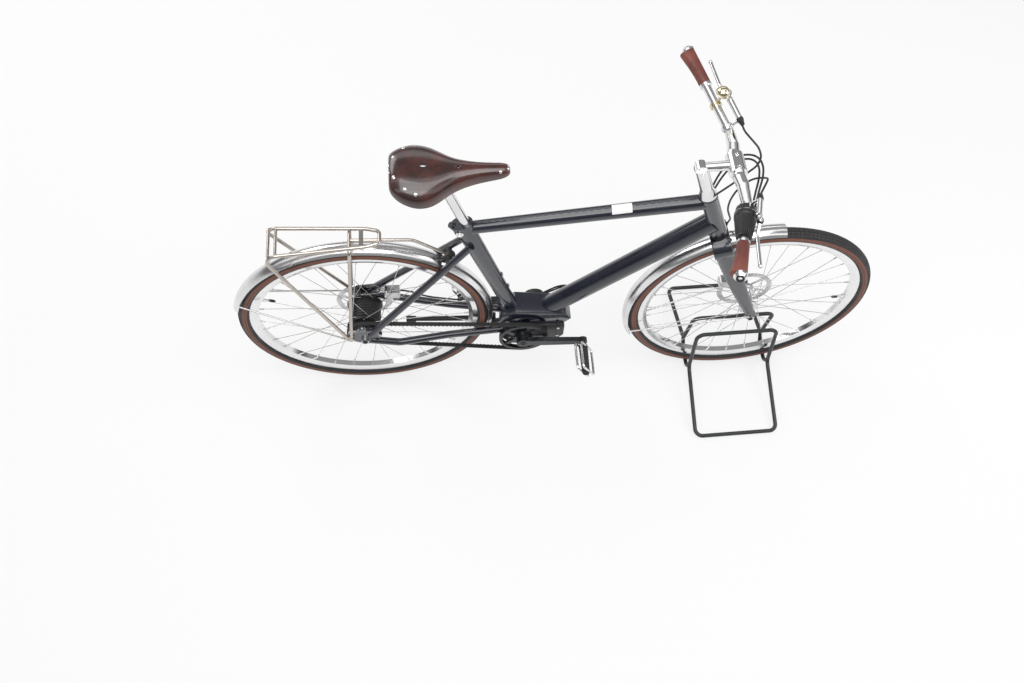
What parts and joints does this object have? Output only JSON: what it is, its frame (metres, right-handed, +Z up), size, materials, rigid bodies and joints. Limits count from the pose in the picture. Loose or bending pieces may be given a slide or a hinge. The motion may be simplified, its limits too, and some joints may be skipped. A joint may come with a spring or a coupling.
{
  "type": "electric bicycle",
  "caption": "City electric bicycle with diamond frame, belt drive, mudguards, rear rack and leather saddle, held upright by a wire display stand at the front wheel.",
  "frame": {"origin": "on the ground in the middle plane, straight below the rear axle", "axes": "+X forward, +Y to the rider's left, +Z up"},
  "size_m": [1.797, 0.6819, 1.0579],
  "materials": {
    "frame_paint": "satin dark navy metallic paint",
    "black_cast": "black powder-coated casting",
    "gunmetal": "dark anodised",
    "polished_aluminium": "polished",
    "satin_aluminium": "satin",
    "fender_aluminium": "brushed and polished",
    "stainless_wire": "stainless",
    "rack_steel": "warm stainless tube",
    "disc_steel": "ground steel",
    "tyre_rubber": "black tread with brown sidewall",
    "belt_rubber": "matte black",
    "cable_black": "satin black outer",
    "shifter_plastic": "black",
    "bell_brass": "polished pale brass",
    "brown_leather": "glossy reddish brown",
    "grip_leather": "matte brown",
    "stand_paint": "satin black wire"
  },
  "bodies": {
    "frame": {"head_tube": "frame_paint", "headset_cups": "black_cast", "seat_tube": "frame_paint", "seat_lug": "frame_paint", "top_tube": "frame_paint", "down_tube": "frame_paint", "gearbox_bridge": "frame_paint", "gearbox": "black_cast", "shift_box": "black_cast", "dropouts": "satin_aluminium", "seat_stays": "frame_paint", "chain_stays": "frame_paint", "stay_bridge": "black_cast", "rear_axle": "satin_aluminium", "kickstand_bracket": "black_cast", "drive_belt": "belt_rubber", "rear_fender": "fender_aluminium", "rear_fender_stays": "stainless_wire", "rear_rack": "rack_steel", "rack_stay": "rack_steel", "rear_caliper": "satin_aluminium", "rear_brake_hose": "cable_black", "shift_cables": "cable_black", "seat_post": "polished_aluminium", "saddle_rails": "disc_steel", "saddle": "brown_leather"},
    "steering": {"fork_crown": "frame_paint", "fork_blades": "frame_paint", "front_axle": "satin_aluminium", "stem": "polished_aluminium", "handlebar": "polished_aluminium", "grips": "grip_leather", "grip_rings": "polished_aluminium", "twist_shifter": "shifter_plastic", "brake_levers": "polished_aluminium", "bell": "bell_brass", "front_fender": "fender_aluminium", "front_fender_stays": "stainless_wire", "front_caliper": "satin_aluminium", "control_cables": "cable_black", "stand_hoops": "stand_paint", "stand_cradles": "stand_paint"},
    "front_wheel": {"front_tyre": "tyre_rubber", "front_rim": "polished_aluminium", "front_spokes": "stainless_wire", "front_hub": "polished_aluminium", "front_rotor": "disc_steel"},
    "rear_wheel": {"rear_tyre": "tyre_rubber", "rear_rim": "polished_aluminium", "rear_spokes": "stainless_wire", "rear_hub": "black_cast", "rear_rotor": "disc_steel", "rear_pulley": "satin_aluminium"},
    "crank": {"crank_arms": "gunmetal", "front_pulley": "gunmetal"},
    "right_pedal": {"pedal_right": "satin_aluminium"},
    "left_pedal": {"pedal_left": "satin_aluminium"},
    "kickstand": {"kickstand_leg": "black_cast"}
  },
  "joints": [
    {"name": "steering_turn", "type": "hinge", "parent": "frame", "child": "steering", "pos_m": [1.07055, 0, 0.34099], "axis": [-0.3338, 0, 0.9426], "range_deg": [-61.8, 58.2]},
    {"name": "front_wheel_spin", "type": "hinge", "parent": "steering", "child": "front_wheel", "pos_m": [1.09599, 0.00085, 0.35], "axis": [-0.0296, 0.9995, -0.0105], "continuous": true},
    {"name": "rear_wheel_spin", "type": "hinge", "parent": "frame", "child": "rear_wheel", "pos_m": [0, 0, 0.35], "axis": [0, 1, 0], "continuous": true},
    {"name": "crank_spin", "type": "hinge", "parent": "frame", "child": "crank", "pos_m": [0.446, 0, 0.285], "axis": [0, 1, 0], "continuous": true},
    {"name": "right_pedal_spin", "type": "hinge", "parent": "crank", "child": "right_pedal", "pos_m": [0.61577, -0.086, 0.2939], "axis": [0, 1, 0], "continuous": true},
    {"name": "left_pedal_spin", "type": "hinge", "parent": "crank", "child": "left_pedal", "pos_m": [0.27623, 0.086, 0.2761], "axis": [0, 1, 0], "continuous": true},
    {"name": "kickstand_fold", "type": "hinge", "parent": "frame", "child": "kickstand", "pos_m": [0.362, 0.04, 0.238], "axis": [-0.0303, -0.9325, -0.3598], "range_deg": [0, 88.1]}
  ]
}
